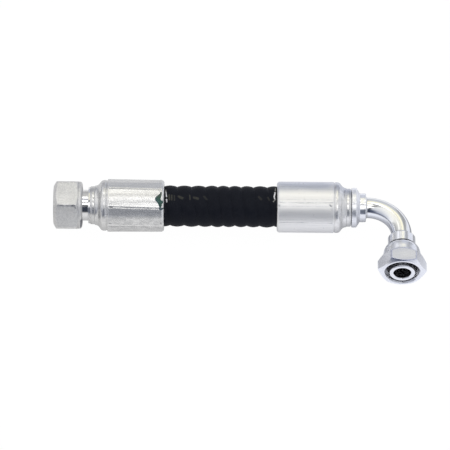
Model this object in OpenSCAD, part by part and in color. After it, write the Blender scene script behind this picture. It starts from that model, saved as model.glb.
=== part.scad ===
// Hydraulic hose assembly: a short length of four-spiral rubber hose with a
// crimped ferrule on each end, a straight swivel-nut end and a 90 degree
// tube-elbow swivel-nut end. Both ends seal on a 24 degree cone with an O-ring.
// Frame: +X runs along the hose from the straight end to the elbow end, the
// elbow outlet points along -Y, +Z is up and Z = 0 is the surface it lies on.

/* [Hose] */
// Inside diameter of the hose liner
hose_id = 12.7; // [12.6:0.1:13]
// Outside diameter of the hose cover
hose_od = 25; // [24.2:0.1:25]
// Free length of hose between the two ferrules
free_len = 71.5; // [60:0.5:400]
// Thickness of the liner
liner_t = 1.3; // [1.1:0.05:1.4]
// Thickness of one spiral of reinforcing wire
wire_t = 0.5; // [0.4:0.05:0.55]
// Thickness of the rubber between two wire spirals
layer_t = 0.16; // [0.12:0.02:0.2]

/* [Ferrules] */
// Length of one crimped ferrule
ferrule_len = 47; // [46:0.5:50]
// Radius at the middle of a crimping die's mark
crimp_r = 16.2; // [16:0.05:16.5]
// Number of crimping dies
crimp_dies = 8; // [8]
// How far each die's centre lies beyond the axis, which sets the ridge height
die_offset = 6; // [4:0.5:8]
// Angle of the ridges on the straight end's ferrule
left_crimp_turn = 41.4; // [0:0.1:44.9]
// Angle of the ridges on the elbow end's ferrule
right_crimp_turn = 18.9; // [0:0.1:44.9]
// Radius of the ferrule's neck
neck_r = 12.05; // [11.8:0.05:12.4]
// Radius of the rounded bead between neck and crimp
bead_r = 16.05; // [15.7:0.05:16.1]
// Number of holding grooves inside the ferrule
ferrule_grooves = 7; // [5:1:8]

/* [Straight end] */
// Width across flats of the straight end's nut, thread M24 x 1.5
left_nut_af = 30; // [30]
// Length of the straight end's nut
left_nut_len = 18.3; // [18.3]
// Angle of the straight end's nut about the hose axis
left_nut_turn = 36.5; // [0:0.5:59.5]
// Radius of the nut's thread at its crests
left_thread_r = 11.188; // [11.188]
// Radius of the straight end's shank
left_shank_r = 9.75; // [9.75]
// Length of shank seen between nut and ferrule
left_gap = 3.8; // [3.6:0.1:4]

/* [Elbow end] */
// Width across flats of the elbow end's nut, thread M22 x 1.5
right_nut_af = 27; // [27]
// Length of the elbow end's nut
right_nut_len = 18.8; // [18.8]
// Angle of the elbow end's nut about the outlet axis
right_nut_turn = -3; // [-30:0.5:29.5]
// Radius of the nut's thread at its crests
right_thread_r = 10.188; // [10.188]
// Radius of the cone nipple's shank
right_shank_r = 8.65; // [8.65]
// Radius of the insert's collar
collar_r = 12.55; // [12:0.05:12.8]
// Radius of the insert's tube socket
socket_r = 9.1; // [8.8:0.1:9.6]
// Outside diameter of the elbow tube
tube_od = 13; // [13]
// Centreline radius of the elbow bend
bend_r = 21.5; // [20.5:0.5:24]

/* [Bores and fits] */
// Diameter of the bore through inserts and elbow tube
bore_d = 9.5; // [9:0.1:9.8]
// Diameter of the bore through the elbow end's nose
nose_bore_d = 11; // [10.5:0.1:11.4]
// Radial clearance of each nut on its shank
nut_clear = 0.08; // [0.04:0.01:0.1]
// Section diameter of the O-rings
oring_d = 1.5; // [1.4:0.05:1.5]
// Gap left between parts that are pressed together
seat_gap = 0.02; // [0.01:0.01:0.03]

/* [Hidden] */
$fn = 96;

zinc = [0.80, 0.81, 0.82];
bright_zinc = [0.84, 0.85, 0.88];
rubber = [0.04, 0.04, 0.05];
wire = [0.62, 0.60, 0.55];

// stations along the hose axis, counted from the straight end's nut face
lip_t = 1;
x_neck_l = left_nut_len + left_gap + lip_t;
x_tail_l = x_neck_l + ferrule_len;
x_tail_r = x_tail_l + free_len;
x_neck_r = x_tail_r + ferrule_len;
x_socket = x_neck_r + 9.4;
x_bend = x_socket + 0.9;
x_out = x_bend + bend_r;
tube_r = tube_od / 2;
bore_r = bore_d / 2;

// stations along the elbow outlet, counted from the hose axis
d_tail = bend_r + 0.7;
d_seat = d_tail + 6;
d_back = 31.5;
d_front = d_back + right_nut_len;
d_nose = d_front + 0.5;

// stations of the straight end, counted from the ferrule's neck face
u_back = -(lip_t + left_gap);
u_front = u_back - left_nut_len;
u_nose = u_front + 0.5;
hose_end = 9.9;
stem_end = 45;
cone = tan(12);

// the corner of the die marks, where two dies meet
half_die = 180 / crimp_dies;
ridge_r = sqrt(pow(crimp_r + die_offset, 2) - pow(die_offset * sin(half_die), 2))
    - die_offset * cos(half_die);
low_turn = min([for (k = [-8:8]) abs(left_crimp_turn + 2 * half_die * k)]);

// the origin is under the middle of the whole assembly
nut_r_l = left_nut_af / 2 / cos(30);
nut_r_r = right_nut_af / 2 / cos(30);
back_y = nut_r_l * max([for (k = [0:5]) sin(left_nut_turn + 60 * k)]);
right_x = nut_r_r * max([for (k = [0:5]) cos(right_nut_turn + 60 * k)]);
x_mid = (x_out + right_x) / 2;
y_mid = (back_y - d_nose) / 2;
axis_h = ridge_r * cos(low_turn);

module placed() translate([-x_mid, -y_mid, axis_h]) children();
module on_left() placed() translate([x_neck_l, 0, 0]) rotate([0, 90, 0]) children();
module on_right() placed() translate([x_neck_r, 0, 0]) rotate([0, -90, 0]) children();
module on_outlet() placed() translate([x_out, 0, 0]) rotate([90, 0, 0]) children();

// a solid of revolution about Z from points given as [station, radius]
module revolved(p) rotate_extrude() polygon([for (q = p) [q[1], q[0]]]);

// a tube about Z between two stations
module tube(r_in, r_out, z0, z1) rotate_extrude()
    translate([r_in, z0]) square([r_out - r_in, z1 - z0]);

// ---------------------------------------------------------------- hose

hose_z0 = x_neck_l + hose_end;
hose_z1 = x_neck_r - hose_end;
module hose_layer(r_in, r_out) placed() rotate([0, 90, 0])
    tube(r_in, r_out, hose_z0, hose_z1);

liner_r = hose_id / 2 + liner_t;
step_r = wire_t + layer_t;
function wire_in(i) = liner_r + (i - 1) * step_r + seat_gap;
function wire_out(i) = liner_r + (i - 1) * step_r + wire_t;
spiral_r = wire_out(4);

module hose_liner() color(rubber) hose_layer(hose_id / 2, liner_r);
module wire_spiral(i) color(wire) hose_layer(wire_in(i), wire_out(i));
module rubber_layer(i) color(rubber)
    hose_layer(wire_out(i) + seat_gap, wire_out(i) + layer_t);

// grooves inside the ferrule, as [station, radius], from neck to tail
crest_r = 11.5;
root_r = 12;
groove_z0 = hose_end + 2.2;
groove_pitch = (ferrule_len - 3.6 - groove_z0) / ferrule_grooves;
grip = concat([[hose_end - 0.1, crest_r]], [for (i = [0:ferrule_grooves - 1])
    let (z = groove_z0 + i * groove_pitch)
    each [[z, crest_r], [z + 0.5, root_r],
        [z + groove_pitch - 1.6, root_r], [z + groove_pitch - 1.1, crest_r]]],
    [[ferrule_len - 3.6, crest_r], [ferrule_len - 1.2, hose_od / 2 + 0.15],
        [ferrule_len, hose_od / 2 + 0.6]]);

// the cover is squeezed into the ferrule's grooves at both ends
squeezed = [for (q = grip) if (q[0] > hose_end && q[0] < ferrule_len - 1)
    [q[0], q[1] - seat_gap]];
n_squeezed = len(squeezed);
module hose_cover() color(rubber) placed() rotate([0, 90, 0]) revolved(concat(
    [[hose_z0, spiral_r + seat_gap], [hose_z0, crest_r - seat_gap]],
    [for (q = squeezed) if (q[0] < ferrule_len - 1.5) [x_neck_l + q[0], q[1]]],
    [[x_tail_l - 1.2, hose_od / 2], [x_tail_r + 1.2, hose_od / 2]],
    [for (i = [n_squeezed - 1:-1:0]) if (squeezed[i][0] < ferrule_len - 1.5)
        [x_neck_r - squeezed[i][0], squeezed[i][1]]],
    [[hose_z1, crest_r - seat_gap], [hose_z1, spiral_r + seat_gap]]));

// ------------------------------------------------------------ ferrules

// outline of eight die marks with a ridge where two dies meet
module crimp_outline(turn) intersection_for(i = [0:crimp_dies - 1])
    rotate(turn + half_die + i * 2 * half_die)
        translate([-die_offset, 0]) circle(r = crimp_r + die_offset, $fn = 180);

// neck, flare and bead, as [station, radius]
crimp_z0 = 11.2;
neck_side = [[0.05, neck_r - 0.5], [0.35, neck_r - 0.1], [2.9, neck_r],
    [3.9, neck_r + 0.4], [4.8, neck_r + 0.8], [5.5, neck_r + 1.3],
    [6.1, neck_r + 1.95], [6.7, neck_r + 2.75], [7.2, neck_r + 3.3],
    [7.8, bead_r - 0.25], [8.5, bead_r], [9.8, bead_r], [10.4, bead_r - 0.2],
    [10.7, bead_r - 0.4], [11, bead_r - 0.4], [crimp_z0 + 0.2, bead_r - 0.2]];

module ferrule(turn) difference() {
    union() {
        revolved(concat([[0.05, 7]], neck_side, [[crimp_z0 + 0.2, 7]]));
        intersection() {
            translate([0, 0, crimp_z0])
                linear_extrude(height = ferrule_len - crimp_z0) crimp_outline(turn);
            revolved([[crimp_z0, 7], [crimp_z0, crimp_r - 0.25],
                [crimp_z0 + 0.7, ridge_r + 0.2],
                [ferrule_len - 2.8, ridge_r + 0.2],
                [ferrule_len - 1.5, crimp_r - 0.3],
                [ferrule_len - 0.7, crimp_r - 1],
                [ferrule_len - 0.2, crimp_r - 1.8], [ferrule_len, crimp_r - 2.4],
                [ferrule_len, 7]]);
        }
    }
    revolved(concat([[-1, 0], [-1, 7.75], [4.95, 7.75], [4.95, 9.6],
        [hose_end - 0.1, 9.6]], grip,
        [[ferrule_len + 1, hose_od / 2 + 0.6], [ferrule_len + 1, 0]]));
}

module ferrule_left() color(zinc) on_left() ferrule(left_crimp_turn);
module ferrule_right() color(bright_zinc) on_right() ferrule(right_crimp_turn);

// --------------------------------------------------------------- stems

// the barbed tail that grips the inside of the liner, as [station, radius]
barb_r = hose_id / 2 - seat_gap;
barb_n = 8;
barb_z0 = 11;
barb_pitch = (stem_end - 2 - barb_z0) / barb_n;
barbed_tail = concat([[0, 7.7], [5, 7.7], [5.05, 9.1], [5.3, 9.35],
    [8.7, 9.35], [9, 9.05], [9.05, barb_r], [barb_z0, barb_r]],
    [for (i = [0:barb_n - 1]) let (z = barb_z0 + i * barb_pitch)
        each [[z + 0.1, barb_r - 0.4], [z + 1.4, barb_r - 0.4],
            [z + barb_pitch - 0.6, barb_r], [z + barb_pitch, barb_r]]],
    [[stem_end - 1.2, barb_r], [stem_end, barb_r - 0.6]]);

// cone end of radius r at station z, towards dir, up to its flange of radius rf
function cone_end(z, r, rf, dir) = let (e = z + dir * (rf - r) / cone)
    [[z, r - 0.3], [z + dir * 0.25, r],
        [z + dir * 4, r + 4 * cone], [z + dir * 4, r + 5 * cone - 1.16],
        [z + dir * 6, r + 5 * cone - 1.16], [z + dir * 6, r + 6 * cone], [e, rf]];

left_nose_r = 8.9;
left_flange_r = 10.85;
module stem_left() color(bright_zinc) on_left() difference() {
    revolved(concat([[u_nose, 3]], cone_end(u_nose, left_nose_r, left_flange_r, 1),
        [[u_back - 5.3, left_flange_r], [u_back - 4.2, left_shank_r],
            [-lip_t, left_shank_r], [-lip_t, neck_r - 0.75],
            [-lip_t + 0.2, neck_r - 0.55], [0, neck_r - 0.55]],
        barbed_tail, [[stem_end, 3]]));
    translate([0, 0, u_nose - 1]) cylinder(r = bore_r, h = stem_end - u_nose + 2);
}

module stem_right() color(bright_zinc) on_right() difference() {
    revolved(concat([[-9.4, 3], [-9.4, socket_r - 0.4], [-9, socket_r],
        [-5.3, socket_r], [-5.3, socket_r + 0.35], [-3.4, collar_r - 0.25],
        [-3.1, collar_r], [-0.55, collar_r], [-0.3, collar_r - 0.25],
        [-0.3, 7.7]], barbed_tail, [[stem_end, 3]]));
    translate([0, 0, -10]) cylinder(r = bore_r, h = stem_end + 11);
    translate([0, 0, -10]) cylinder(r = tube_r + seat_gap, h = 6.6);
}

// --------------------------------------------------------------- elbow

module bent(r) {
    translate([x_out - bend_r, -bend_r, 0]) rotate_extrude(angle = 90)
        translate([bend_r, 0]) circle(r = r);
    translate([x_neck_r + 3.42, 0, 0]) rotate([0, 90, 0])
        cylinder(r = r, h = x_bend - x_neck_r - 3.42);
    translate([x_out, -bend_r, 0]) rotate([90, 0, 0])
        cylinder(r = r, h = d_seat - 0.02 - bend_r);
}

module elbow_tube() color(bright_zinc) placed() difference() {
    bent(tube_r);
    bent(bore_r);
}

module braze_ring_inlet() color(bright_zinc) on_right()
    revolved([[-9.42, tube_r + seat_gap], [-9.42, tube_r + 0.8],
        [-9.6, tube_r + 0.45], [-9.9, tube_r + 0.2], [-10.2, tube_r + seat_gap]]);

module braze_ring_outlet() color(bright_zinc) on_outlet()
    revolved([[d_tail - 0.02, tube_r + seat_gap], [d_tail - 0.02, tube_r + 0.45],
        [d_tail - 0.25, tube_r + 0.2], [d_tail - 0.6, tube_r + seat_gap]]);

right_nose_r = 7.95;
right_flange_r = 9.8;
module cone_nipple_right() color(bright_zinc) on_outlet() difference() {
    revolved(concat([[d_nose, 3]],
        cone_end(d_nose, right_nose_r, right_flange_r, -1),
        [[d_back + 6.15, right_flange_r], [d_back + 5, right_shank_r],
            [d_tail + 1.65, right_shank_r], [d_tail, tube_r + 0.5], [d_tail, 3]]));
    translate([0, 0, d_tail - 1]) cylinder(d = nose_bore_d, h = 40);
    translate([0, 0, d_tail - 1]) cylinder(r = tube_r + seat_gap, h = 7);
}

// --------------------------------------------------------------- seals

module o_ring(z, floor_r) rotate_extrude()
    translate([floor_r + seat_gap + oring_d / 2, z]) circle(d = oring_d, $fn = 48);

module o_ring_left() color(rubber) on_left()
    o_ring(u_nose + 5, left_nose_r + 5 * cone - 1.16);
module o_ring_right() color(rubber) on_outlet()
    o_ring(d_nose - 5, right_nose_r + 5 * cone - 1.16);

// ---------------------------------------------------------------- nuts

// hexagon across flats af, with one corner on local +X
module hexagon(af) circle(r = af / 2 / cos(30), $fn = 6);

module swivel_nut_left() color(zinc) on_left() difference() {
    intersection() {
        translate([0, 0, u_front]) rotate(left_nut_turn)
            linear_extrude(height = left_nut_len) hexagon(left_nut_af);
        revolved([[u_front, 0], [u_front, 12.75], [u_front + 2.8, nut_r_l + 0.1],
            [u_back - 3.75, nut_r_l + 0.1], [u_back - 2.45, 14.95],
            [u_back - 1.1, 14.9], [u_back - 0.5, 14.3], [u_back - 0.15, 13.4],
            [u_back, 12.2], [u_back, 0]]);
    }
    translate([0, 0, u_back - 4]) cylinder(r = left_shank_r + nut_clear, h = 6);
    revolved([[u_back - 3.75, 0], [u_back - 3.75, left_shank_r + nut_clear],
        [u_back - 5.32, left_shank_r + nut_clear + 1.57], [u_back - 5.42, 11.5],
        [u_back - 6.9, 11.5], [u_back - 7.1, left_thread_r],
        [u_back - 7.1, 0]]);
    translate([0, 0, u_front - 1]) cylinder(r = left_thread_r,
        h = left_nut_len - 6);
    revolved([[u_front - 1, 0], [u_front - 1, 12.35], [u_front, 12.35],
        [u_front + 1.15, left_thread_r], [u_front + 1.15, 0]]);
}

// the nut's rear skirt is closed in over the nipple's flange as a dome
dome = [for (i = [0:9]) [d_back + 6 * (1 - cos(10 * i)), 9.25 + 2.85 * sin(10 * i)]];
module swivel_nut_right() color(bright_zinc) on_outlet() difference() {
    intersection() {
        translate([0, 0, d_back]) rotate(right_nut_turn)
            linear_extrude(height = right_nut_len) hexagon(right_nut_af);
        revolved(concat([[d_back, 0]], dome, [[d_back + 7.4, 12.1],
            [d_back + 10.9, nut_r_r + 0.1], [d_front - 2.2, nut_r_r + 0.1],
            [d_front, 13.2], [d_front, 0]]));
    }
    translate([0, 0, d_back - 1]) cylinder(r = right_shank_r + nut_clear, h = 6);
    revolved([[d_back + 4.5, 0], [d_back + 4.5, right_shank_r + nut_clear],
        [d_back + 6.2, right_shank_r + nut_clear + 1.7], [d_back + 6.3, 10.6],
        [d_back + 7.7, 10.6], [d_back + 7.9, right_thread_r], [d_back + 7.9, 0]]);
    translate([0, 0, d_back + 7]) cylinder(r = right_thread_r, h = right_nut_len);
    revolved([[d_front - 1.25, 0], [d_front - 1.25, right_thread_r],
        [d_front, 11.45], [d_front + 1, 11.45], [d_front + 1, 0]]);
}

hose_liner();
wire_spiral(1);  // wire_spiral_1
rubber_layer(1);  // rubber_layer_1
wire_spiral(2);  // wire_spiral_2
rubber_layer(2);  // rubber_layer_2
wire_spiral(3);  // wire_spiral_3
rubber_layer(3);  // rubber_layer_3
wire_spiral(4);  // wire_spiral_4
hose_cover();
ferrule_left();
ferrule_right();
stem_left();
o_ring_left();
swivel_nut_left();
stem_right();
braze_ring_inlet();
elbow_tube();
braze_ring_outlet();
cone_nipple_right();
o_ring_right();
swivel_nut_right();
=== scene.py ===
import math

import bpy
import numpy as np
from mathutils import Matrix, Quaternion, Vector


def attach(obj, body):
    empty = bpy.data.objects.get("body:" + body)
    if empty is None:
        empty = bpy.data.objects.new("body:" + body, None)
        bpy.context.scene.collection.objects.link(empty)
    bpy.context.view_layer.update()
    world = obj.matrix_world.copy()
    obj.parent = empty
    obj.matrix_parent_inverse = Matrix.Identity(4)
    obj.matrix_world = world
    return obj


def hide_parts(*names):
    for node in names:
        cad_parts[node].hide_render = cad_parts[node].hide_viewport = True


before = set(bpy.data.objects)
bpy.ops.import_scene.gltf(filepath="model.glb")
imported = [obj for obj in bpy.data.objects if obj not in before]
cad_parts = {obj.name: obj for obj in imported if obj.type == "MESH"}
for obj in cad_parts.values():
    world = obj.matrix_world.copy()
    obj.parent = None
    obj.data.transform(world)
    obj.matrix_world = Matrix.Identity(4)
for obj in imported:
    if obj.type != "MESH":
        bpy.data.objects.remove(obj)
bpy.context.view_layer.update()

# ----------------------------------------------------------------- frames
# Lengths are in millimetres until place() turns them into metres.
MM = 0.001
AXIS_Y, AXIS_Z = 16.795415, 16.50503
NECK_L, NECK_R, OUT_X = -94.88355, 70.61645, 102.41645
HOSE = "hose_assembly"
TAU = 2 * math.pi


def on_left(u, a, r):
    """Straight end: u runs from the ferrule's neck face towards the hose."""
    return np.stack([NECK_L + u, AXIS_Y + r * np.sin(a), AXIS_Z - r * np.cos(a)], -1) * MM


def on_right(u, a, r):
    """Elbow end: u runs from the ferrule's neck face towards the hose."""
    return np.stack([NECK_R - u, AXIS_Y + r * np.sin(a), AXIS_Z + r * np.cos(a)], -1) * MM


def on_outlet(d, a, r):
    """Elbow outlet: d runs from the hose axis towards the nose."""
    return np.stack([OUT_X + r * np.cos(a), AXIS_Y - d, AXIS_Z + r * np.sin(a)], -1) * MM


# ---------------------------------------------------------------- helpers
def smooth(t):
    t = np.clip(t, 0, 1)
    return t * t * (3 - 2 * t)


def bump(x, w):
    """A bell of half width w."""
    return np.exp(-((x / w) ** 2))


def lattice(ix, iy, seed):
    h = (ix * 374761393 + iy * 668265263 + seed * 2147483647) & 0xFFFFFFFF
    h = ((h ^ (h >> 13)) * 1274126177) & 0xFFFFFFFF
    return ((h ^ (h >> 16)) & 0xFFFF) / 32767.5 - 1


def wander(x, y, seed, wrap=0):
    """Smooth value noise from -1 to 1. wrap is the whole number of cells after which y repeats."""
    x, y = np.broadcast_arrays(np.asarray(x, float), np.asarray(y, float))
    ix, iy = np.floor(x).astype(np.int64), np.floor(y).astype(np.int64)
    fx, fy = smooth(x - ix), smooth(y - iy)
    j0, j1 = (iy, iy + 1) if not wrap else (iy % wrap, (iy + 1) % wrap)
    a, b = lattice(ix, j0, seed), lattice(ix + 1, j0, seed)
    c, d = lattice(ix, j1, seed), lattice(ix + 1, j1, seed)
    return (a + (b - a) * fx) * (1 - fy) + (c + (d - c) * fx) * fy


def turned(a, b):
    """The turn from angle b to angle a, from -pi to pi."""
    return (a - b + math.pi) % TAU - math.pi


def smin(a, b, k):
    """The smaller of two, rounded over about k where they meet."""
    h = np.clip(0.5 + 0.5 * (b - a) / k, 0, 1)
    return b + (a - b) * h - k * h * (1 - h)


def outline(points, step=0.7, fillet=0.12, n=4, closed=True):
    """Points are (station, radius[, fillet]). Corners are rounded, and long runs are cut up."""
    p = np.array([q[:2] for q in points], float)
    f = [q[2] if len(q) > 2 else fillet for q in points]
    count, out = len(p), []
    for i in range(count):
        b = p[i]
        if not closed and i in (0, count - 1):
            out.append(b)
            continue
        u, v = p[i - 1] - b, p[(i + 1) % count] - b
        lu, lv = np.hypot(*u), np.hypot(*v)
        u, v = u / lu, v / lv
        ang = math.acos(float(np.clip(u @ v, -1, 1)))
        if f[i] <= 0 or ang > math.pi - 0.03:
            out.append(b)
            continue
        t = min(f[i] / math.tan(ang / 2), 0.42 * lu, 0.42 * lv)
        rad = t * math.tan(ang / 2)
        mid = b + (u + v) / np.hypot(*(u + v)) * rad / math.sin(ang / 2)
        p0, p1 = b + u * t - mid, b + v * t - mid
        a0, a1 = math.atan2(p0[1], p0[0]), math.atan2(p1[1], p1[0])
        da = (a1 - a0 + math.pi) % TAU - math.pi
        side = min(0.05, 0.3 * t)
        out.append(b + u * (t + side))
        for k in range(n + 1):
            w = a0 + da * k / n
            out.append(mid + rad * np.array([math.cos(w), math.sin(w)]))
        out.append(b + v * (t + side))
    res, last = [], len(out) if closed else len(out) - 1
    for i in range(last):
        a, b = out[i], out[(i + 1) % len(out)]
        parts = max(1, int(math.ceil(np.hypot(*(b - a)) / step)))
        res += [a + (b - a) * k / parts for k in range(parts)]
    if not closed:
        res.append(out[-1])
    return np.array(res)


def mesh_from(name, co, faces):
    me = bpy.data.meshes.new(name)
    me.vertices.add(len(co))
    me.vertices.foreach_set("co", np.asarray(co, np.float32).ravel())
    faces = np.asarray(faces, np.int32)
    me.loops.add(faces.size)
    me.loops.foreach_set("vertex_index", faces.ravel())
    me.polygons.add(len(faces))
    me.polygons.foreach_set("loop_start", np.arange(0, faces.size, faces.shape[1], dtype=np.int32))
    me.polygons.foreach_set("loop_total", np.full(len(faces), faces.shape[1], np.int32))
    me.polygons.foreach_set("use_smooth", np.ones(len(faces), bool))
    me.update(calc_edges=True)
    me.validate()
    ob = bpy.data.objects.new(name, me)
    bpy.context.scene.collection.objects.link(ob)
    return ob


def volume_sign(co, faces):
    a, b, c, d = (co[faces[:, i]] for i in range(4))
    return np.sign((np.cross(a, b) * c).sum() + (np.cross(a, c) * d).sum())


def ring(name, co, **marks):
    """A closed ring-shaped mesh from a grid of points that wraps both ways. marks are values kept per point."""
    n, m = co.shape[:2]
    idx = np.arange(n * m).reshape(n, m)
    down, right = np.roll(idx, -1, 0), np.roll(idx, -1, 1)
    both = np.roll(down, -1, 1)
    faces = np.stack([idx, right, both, down], -1).reshape(-1, 4)
    co = co.reshape(-1, 3)
    if volume_sign(co, faces) < 0:
        faces = faces[:, ::-1]
    ob = mesh_from(name, co, faces)
    keep(ob, **marks)
    return ob


def keep(ob, **marks):
    for key, values in marks.items():
        layer = ob.data.attributes.new(key, "FLOAT", "POINT")
        layer.data.foreach_set("value", np.clip(np.asarray(values, np.float32), 0, 1).ravel())


def piece(ob, body, slot, material, *nodes):
    ob.data.materials.clear()
    ob.data.materials.append(material)
    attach(ob, body)
    if nodes:
        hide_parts(*nodes)
    return ob


def angles(m):
    return np.arange(m) * TAU / m


# -------------------------------------------------------------- materials
def new_material(name):
    mat = bpy.data.materials.new(name)
    mat.use_nodes = True
    nt = mat.node_tree
    nt.nodes.clear()
    out = nt.nodes.new("ShaderNodeOutputMaterial")
    bsdf = nt.nodes.new("ShaderNodeBsdfPrincipled")
    nt.links.new(bsdf.outputs[0], out.inputs[0])
    return mat, nt, bsdf


def coords(nt, scale=(1, 1, 1)):
    tc = nt.nodes.new("ShaderNodeTexCoord")
    mp = nt.nodes.new("ShaderNodeMapping")
    mp.inputs["Scale"].default_value = scale
    nt.links.new(tc.outputs["Object"], mp.inputs["Vector"])
    return mp.outputs[0]


def noise_node(nt, vec, scale, detail=3.0, rough=0.55, distortion=0.0):
    n = nt.nodes.new("ShaderNodeTexNoise")
    n.inputs["Scale"].default_value = scale
    n.inputs["Detail"].default_value = detail
    n.inputs["Roughness"].default_value = rough
    n.inputs["Distortion"].default_value = distortion
    nt.links.new(vec, n.inputs["Vector"])
    return n.outputs["Fac"]


def ramp(nt, fac, stops, mode="LINEAR"):
    r = nt.nodes.new("ShaderNodeValToRGB")
    r.color_ramp.interpolation = mode
    els = r.color_ramp.elements
    while len(els) > 1:
        els.remove(els[-1])
    for i, (pos, col) in enumerate(stops):
        e = els[0] if i == 0 else els.new(pos)
        e.position = pos
        e.color = (*col, 1) if len(col) == 3 else col
    nt.links.new(fac, r.inputs[0])
    return r.outputs[0]


def remap(nt, fac, lo, hi, f0=0.0, f1=1.0):
    m = nt.nodes.new("ShaderNodeMapRange")
    m.inputs["From Min"].default_value = f0
    m.inputs["From Max"].default_value = f1
    m.inputs["To Min"].default_value = lo
    m.inputs["To Max"].default_value = hi
    nt.links.new(fac, m.inputs["Value"])
    return m.outputs[0]


def maths(nt, op, a, b=None):
    m = nt.nodes.new("ShaderNodeMath")
    m.operation = op
    for i, v in enumerate((a, b)):
        if v is None:
            continue
        if isinstance(v, (int, float)):
            m.inputs[i].default_value = v
        else:
            nt.links.new(v, m.inputs[i])
    return m.outputs[0]


def mix_colour(nt, fac, a, b, mode="MIX"):
    m = nt.nodes.new("ShaderNodeMix")
    m.data_type = "RGBA"
    m.blend_type = mode
    for sock, v in ((m.inputs[0], fac), (m.inputs[6], a), (m.inputs[7], b)):
        if isinstance(v, (int, float)):
            sock.default_value = v
        elif isinstance(v, tuple):
            sock.default_value = (*v, 1)
        else:
            nt.links.new(v, sock)
    return m.outputs[2]


def bump_node(nt, height, strength, distance, normal=None):
    b = nt.nodes.new("ShaderNodeBump")
    b.inputs["Strength"].default_value = strength
    b.inputs["Distance"].default_value = distance
    nt.links.new(height, b.inputs["Height"])
    if normal is not None:
        nt.links.new(normal, b.inputs["Normal"])
    return b.outputs[0]


def grey(v, tint=(1, 1, 1)):
    return tuple(v * t for t in tint)


def attribute(nt, name):
    a = nt.nodes.new("ShaderNodeAttribute")
    a.attribute_type = "GEOMETRY"
    a.attribute_name = name
    return a.outputs["Fac"]


def metal(name, dark, light, rough=(0.2, 0.3), stretch=(1, 1, 1), grain=900.0, cloud=90.0,
          grain_bump=0.0, cloud_bump=0.0, speck=None, stain=None, spread=(0.3, 0.7), grain_share=0.4,
          shade_and_soil=(0.10, 0.105, 0.125), top=None, polish=0.0, metallic=1.0, mottle=None,
          lines=0.0):
    """Plated steel: clouded colour, fine grain drawn out along one axis, small specks and stains, painted shade with
    some dirt in creases and hollows, and a painted tint on one side.
    """
    mat, nt, b = new_material(name)
    b.inputs["Metallic"].default_value = metallic
    polished = attribute(nt, "polish")
    if metallic < 0.8:
        nt.links.new(maths(nt, "ADD", metallic, maths(nt, "MULTIPLY", polished, 0.82 - metallic)), b.inputs["Metallic"])
    plain, drawn = coords(nt), coords(nt, stretch)
    clouds = noise_node(nt, plain, cloud, 4, 0.6)
    fine = noise_node(nt, drawn, grain, 3, 0.6)
    mixed = maths(nt, "ADD", maths(nt, "MULTIPLY", clouds, 1 - grain_share), maths(nt, "MULTIPLY", fine, grain_share))
    colour = ramp(nt, mixed, [(spread[0], dark), (spread[1], light)])
    # painted light and shade: past a given height or depth the colour is mixed, in patches, towards a given tint, which
    # lays a painted reflection tone on one side of the part
    if top:
        sep = nt.nodes.new("ShaderNodeSeparateXYZ")
        nt.links.new(plain, sep.inputs[0])
        wide = noise_node(nt, coords(nt, (0.4, 1, 1)), 110, 3, 0.55)
        high = remap(nt, sep.outputs[top[3] if len(top) > 3 else "Z"], 0, 1, top[0], top[1])
        colour = mix_colour(nt, maths(nt, "MULTIPLY", high, remap(nt, wide, 0.50, 0.78, 0.35, 0.62)), colour, top[2])
    if speck:
        dots = noise_node(nt, plain, speck[0], 2, 0.5)
        colour = mix_colour(nt, ramp(nt, dots, [(speck[1], (0, 0, 0)), (speck[1] + 0.05, (1, 1, 1))]), colour, speck[2])
    if stain:
        patch = noise_node(nt, plain, stain[0], 5, 0.65, 0.4)
        colour = mix_colour(nt, remap(nt, patch, 0, 1, stain[1], stain[1] + 0.12), colour, stain[2])
    if lines:
        scored = remap(nt, noise_node(nt, coords(nt, (0.035, 1, 1)), 1700, 2, 0.55), 0, 1, 0.50, 0.66)
        colour = mix_colour(nt, maths(nt, "MULTIPLY", scored, lines), colour, grey(0.35))
    if mottle:
        blotch = remap(nt, noise_node(nt, coords(nt, (0.6, 1, 1)), mottle[0], 4, 0.62, 0.3), 0, 1, 0.40, 0.62)
        blotch = maths(nt, "MULTIPLY", blotch, maths(nt, "SUBTRACT", 1.0, polished))
        if len(mottle) > 2:
            # painted shade: the blotches are darker on the lower faces
            low = nt.nodes.new("ShaderNodeSeparateXYZ")
            nt.links.new(plain, low.inputs[0])
            blotch = maths(nt, "MULTIPLY", blotch, remap(nt, low.outputs["Z"], 1.0, 0.25, mottle[2], mottle[2] + 0.003))
        colour = mix_colour(nt, maths(nt, "MULTIPLY", blotch, mottle[1]), colour, grey(0.42))
    # painted shade with some dirt: where the mesh attribute marks creases, grooves and hollows, the colour is darkened
    # towards a dark tone, broken up by noise
    broken = noise_node(nt, plain, 620, 3, 0.6)
    dirt_and_shade = maths(nt, "MULTIPLY", attribute(nt, "grime"), remap(nt, broken, 0.45, 1.0, 0.38, 0.56))
    colour = mix_colour(nt, dirt_and_shade, colour, shade_and_soil)
    nt.links.new(colour, b.inputs["Base Color"])
    shine = remap(nt, mixed, rough[0], rough[1], 0.3, 0.7)
    shine = maths(nt, "SUBTRACT", shine, maths(nt, "MULTIPLY", polished, polish))
    if mottle:
        shine = maths(nt, "ADD", shine, maths(nt, "MULTIPLY", blotch, 0.05))
    nt.links.new(maths(nt, "ADD", shine, maths(nt, "MULTIPLY", dirt_and_shade, 0.18)), b.inputs["Roughness"])
    normal = None
    if cloud_bump:
        normal = bump_node(nt, noise_node(nt, plain, cloud * 2.5, 3, 0.5), cloud_bump, 0.0002)
    if grain_bump:
        normal = bump_node(nt, fine, grain_bump, 0.00005, normal)
    if normal is not None:
        nt.links.new(normal, b.inputs["Normal"])
    return mat


# straight-end ferrule: its far side is tinted darker grey as painted shade, and its blotches darken the lower faces as
# painted shade
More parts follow.
